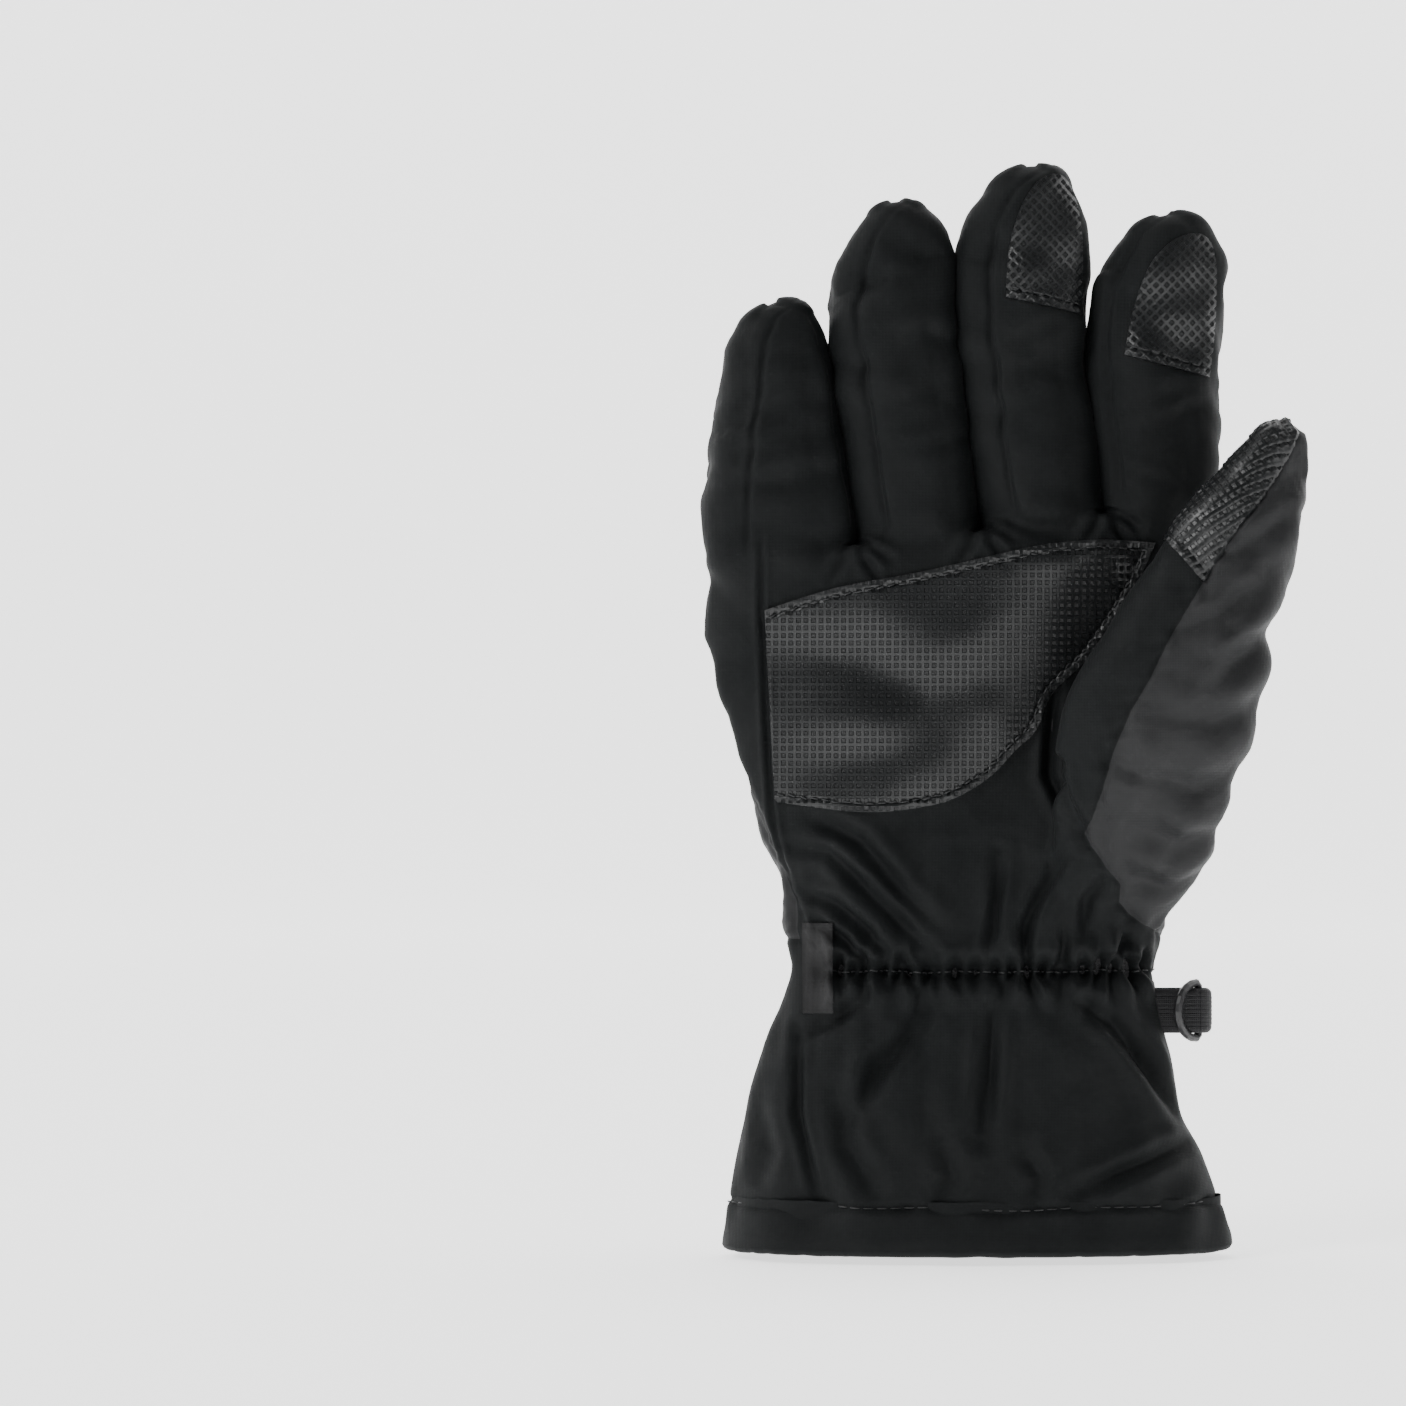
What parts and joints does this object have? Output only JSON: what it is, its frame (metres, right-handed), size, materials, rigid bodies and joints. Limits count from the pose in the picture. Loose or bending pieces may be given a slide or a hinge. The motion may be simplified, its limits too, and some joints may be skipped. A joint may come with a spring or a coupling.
{
  "type": "ski glove",
  "caption": "Padded five-finger ski glove for the right hand with a flared gauntlet cuff, an elastic wrist, grip patches and a D-ring, standing on its cuff.",
  "frame": {"origin": "bottom middle of the bounding box, where the cuff's hem stands", "axes": "+Z from the hem to the fingertips, -Y out of the palm, +X towards the thumb"},
  "size_m": [0.1586, 0.0688, 0.2892],
  "materials": {
    "grey_shell": "dark grey fine woven polyester with a soft sheen",
    "black_shell": "matt black softshell polyester",
    "grip_film": "black polyurethane synthetic leather, semi-gloss, embossed with small squares",
    "fleece": "black brushed fleece lining",
    "padding": "off-white polyester wadding",
    "elastic": "black woven elastic",
    "webbing": "black ribbed nylon webbing",
    "label_fabric": "plain black woven label",
    "black_plastic": "black moulded acetal, satin"
  },
  "bodies": {
    "glove_cuff": {"cuff_back_panel": "black_shell", "cuff_lining": "fleece", "cuff_palm_panel": "black_shell", "hem_binding": "black_shell", "ring_webbing": "webbing", "wrist_elastic": "elastic"},
    "hand": {"hand_back_panel": "grey_shell", "hand_insulation": "padding", "hand_lining": "fleece", "hand_palm_panel": "black_shell", "palm_grip_patch": "grip_film", "thumb_base_panel": "grey_shell", "wrist_label": "label_fabric"},
    "d_ring": {"d_ring": "black_plastic"},
    "little_finger_lower": {"little_finger_lower_back": "grey_shell", "little_finger_lower_lining": "fleece", "little_finger_lower_palm": "black_shell"},
    "little_finger_upper": {"little_finger_upper_back": "grey_shell", "little_finger_upper_lining": "fleece", "little_finger_upper_palm": "black_shell"},
    "ring_finger_lower": {"ring_finger_lower_back": "grey_shell", "ring_finger_lower_lining": "fleece", "ring_finger_lower_palm": "black_shell"},
    "ring_finger_upper": {"ring_finger_upper_back": "grey_shell", "ring_finger_upper_lining": "fleece", "ring_finger_upper_palm": "black_shell"},
    "middle_finger_lower": {"middle_finger_lower_back": "grey_shell", "middle_finger_lower_lining": "fleece", "middle_finger_lower_palm": "black_shell"},
    "middle_finger_upper": {"middle_finger_grip_patch": "grip_film", "middle_finger_upper_back": "grey_shell", "middle_finger_upper_lining": "fleece", "middle_finger_upper_palm": "black_shell"},
    "index_finger_lower": {"index_finger_lower_back": "grey_shell", "index_finger_lower_lining": "fleece", "index_finger_lower_palm": "black_shell"},
    "index_finger_upper": {"index_finger_grip_patch": "grip_film", "index_finger_upper_back": "grey_shell", "index_finger_upper_lining": "fleece", "index_finger_upper_palm": "black_shell"},
    "thumb_lower": {"thumb_lower_back": "grey_shell", "thumb_lower_lining": "fleece", "thumb_lower_palm": "black_shell"},
    "thumb_upper": {"thumb_grip_patch": "grip_film", "thumb_upper_back": "grey_shell", "thumb_upper_lining": "fleece", "thumb_upper_palm": "black_shell"}
  },
  "joints": [
    {"name": "wrist_bend", "type": "hinge", "parent": "glove_cuff", "child": "hand", "pos_m": [-0.00977, 0.00636, 0.069], "axis": [1, 0, 0], "range_deg": [-20, 30], "stiffness_Nm_per_rad": 0.8},
    {"name": "little_finger_knuckle", "type": "hinge", "parent": "hand", "child": "little_finger_lower", "pos_m": [-0.05946, -0.00264, 0.18183], "axis": [0.9914, 0, 0.1305], "range_deg": [0, 60], "stiffness_Nm_per_rad": 0.06},
    {"name": "little_finger_bend", "type": "hinge", "parent": "little_finger_lower", "child": "little_finger_upper", "pos_m": [-0.06376, -0.00264, 0.21455], "axis": [0.9914, 0, 0.1305], "range_deg": [0, 65], "stiffness_Nm_per_rad": 0.04},
    {"name": "ring_finger_knuckle", "type": "hinge", "parent": "hand", "child": "ring_finger_lower", "pos_m": [-0.02381, -0.00264, 0.18652], "axis": [0.9914, 0, 0.1305], "range_deg": [0, 60], "stiffness_Nm_per_rad": 0.06},
    {"name": "ring_finger_bend", "type": "hinge", "parent": "ring_finger_lower", "child": "ring_finger_upper", "pos_m": [-0.03008, -0.00264, 0.23411], "axis": [0.9914, 0, 0.1305], "range_deg": [0, 65], "stiffness_Nm_per_rad": 0.04},
    {"name": "middle_finger_knuckle", "type": "hinge", "parent": "hand", "child": "middle_finger_lower", "pos_m": [0.0093, -0.00264, 0.19088], "axis": [0.9914, 0, 0.1305], "range_deg": [0, 60], "stiffness_Nm_per_rad": 0.06},
    {"name": "middle_finger_bend", "type": "hinge", "parent": "middle_finger_lower", "child": "middle_finger_upper", "pos_m": [0.00264, -0.00264, 0.24144], "axis": [0.9914, 0, 0.1305], "range_deg": [0, 65], "stiffness_Nm_per_rad": 0.04},
    {"name": "index_finger_knuckle", "type": "hinge", "parent": "hand", "child": "index_finger_lower", "pos_m": [0.03969, -0.00264, 0.19488], "axis": [0.9914, 0, 0.1305], "range_deg": [0, 60], "stiffness_Nm_per_rad": 0.06},
    {"name": "index_finger_bend", "type": "hinge", "parent": "index_finger_lower", "child": "index_finger_upper", "pos_m": [0.03551, -0.00264, 0.22661], "axis": [0.9914, 0, 0.1305], "range_deg": [0, 65], "stiffness_Nm_per_rad": 0.04},
    {"name": "thumb_swing", "type": "hinge", "parent": "hand", "child": "thumb_lower", "pos_m": [0.04113, -0.02114, 0.12042], "axis": [0, 1, 0], "range_deg": [-18, 20], "stiffness_Nm_per_rad": 0.12},
    {"name": "thumb_bend", "type": "hinge", "parent": "thumb_lower", "child": "thumb_upper", "pos_m": [0.05537, -0.02714, 0.17355], "axis": [0.9659, 0, -0.2588], "range_deg": [0, 50], "stiffness_Nm_per_rad": 0.05},
    {"name": "d_ring_swing", "type": "hinge", "parent": "glove_cuff", "child": "d_ring", "pos_m": [0.05113, 0.00636, 0.0626], "axis": [0, 0, 1], "range_deg": [0, 150]}
  ]
}
